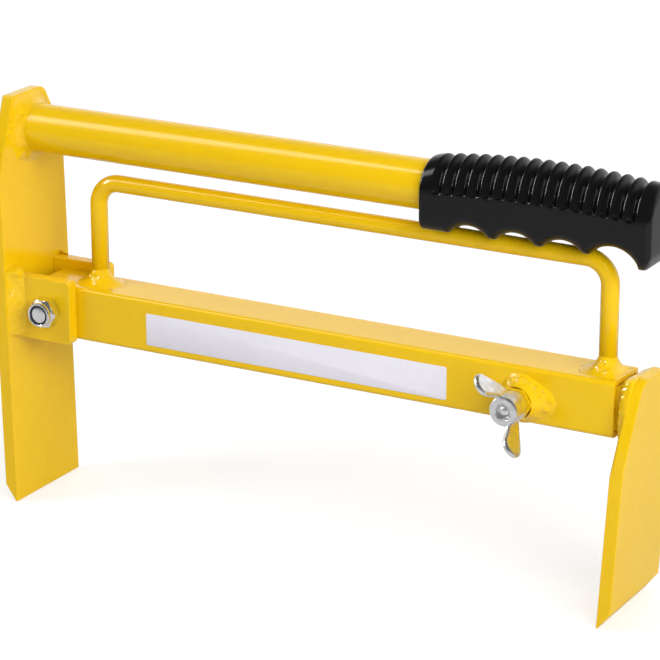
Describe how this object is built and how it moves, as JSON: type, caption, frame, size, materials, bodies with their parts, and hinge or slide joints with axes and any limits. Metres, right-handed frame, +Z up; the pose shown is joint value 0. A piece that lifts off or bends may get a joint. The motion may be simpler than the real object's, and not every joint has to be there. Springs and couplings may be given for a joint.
{
  "type": "brick clamp",
  "caption": "Brick clamp: square-tube beam with a telescoping jaw locked by a wing screw, and a lever jaw that closes when its ribbed handle grip is lifted off the carrying loop.",
  "frame": {"origin": "on the ground, midway between the two jaw tips, in the beam's middle plane", "axes": "+X along the beam towards the sliding jaw, +Y to the back, away from the lock screw, +Z up"},
  "size_m": [0.3209, 0.0668, 0.1938],
  "materials": {
    "yellow_paint": "gloss powder coat",
    "black_grip": "satin moulded",
    "zinc_steel": "bright zinc plated",
    "nylon_ring": "matt"
  },
  "bodies": {
    "beam": {"beam_tube": "yellow_paint", "carry_loop": "yellow_paint", "loop_weld_left": "yellow_paint", "loop_weld_right": "yellow_paint", "lock_nut": "yellow_paint", "lock_nut_weld": "yellow_paint"},
    "lever": {"lever_plate": "yellow_paint", "handle_tube": "yellow_paint", "handle_grip": "black_grip", "handle_weld": "yellow_paint", "front_ear": "yellow_paint", "rear_ear": "yellow_paint", "front_ear_weld": "yellow_paint", "rear_ear_weld": "yellow_paint", "pivot_bolt": "zinc_steel", "pivot_nut": "zinc_steel", "nut_insert": "nylon_ring"},
    "slide": {"slide_bar": "yellow_paint", "slide_jaw": "yellow_paint", "jaw_weld": "yellow_paint"},
    "lock_stud": {"lock_stud": "zinc_steel"},
    "wing_head": {"wing_head": "zinc_steel"}
  },
  "joints": [
    {"name": "lever_pivot", "type": "hinge", "parent": "beam", "child": "lever", "pos_m": [-0.13267, 0, 0.095], "axis": [0, -1, 0], "range_deg": [0, 90]},
    {"name": "jaw_slide", "type": "slide", "parent": "beam", "child": "slide", "axis": [1, 0, 0], "range_m": [0, 0.19]},
    {"name": "lock_feed", "type": "slide", "parent": "beam", "child": "lock_stud", "axis": [0, -1, 0], "range_m": [0, 0.0025]},
    {"name": "wing_turn", "type": "hinge", "parent": "lock_stud", "child": "wing_head", "pos_m": [0.10554, 0, 0.0915], "axis": [0, -1, 0], "range_deg": [0, 720]}
  ],
  "couplings": [
    {"joint": "wing_turn", "follows": "lock_feed", "rad_per_m": 5026.5}
  ]
}
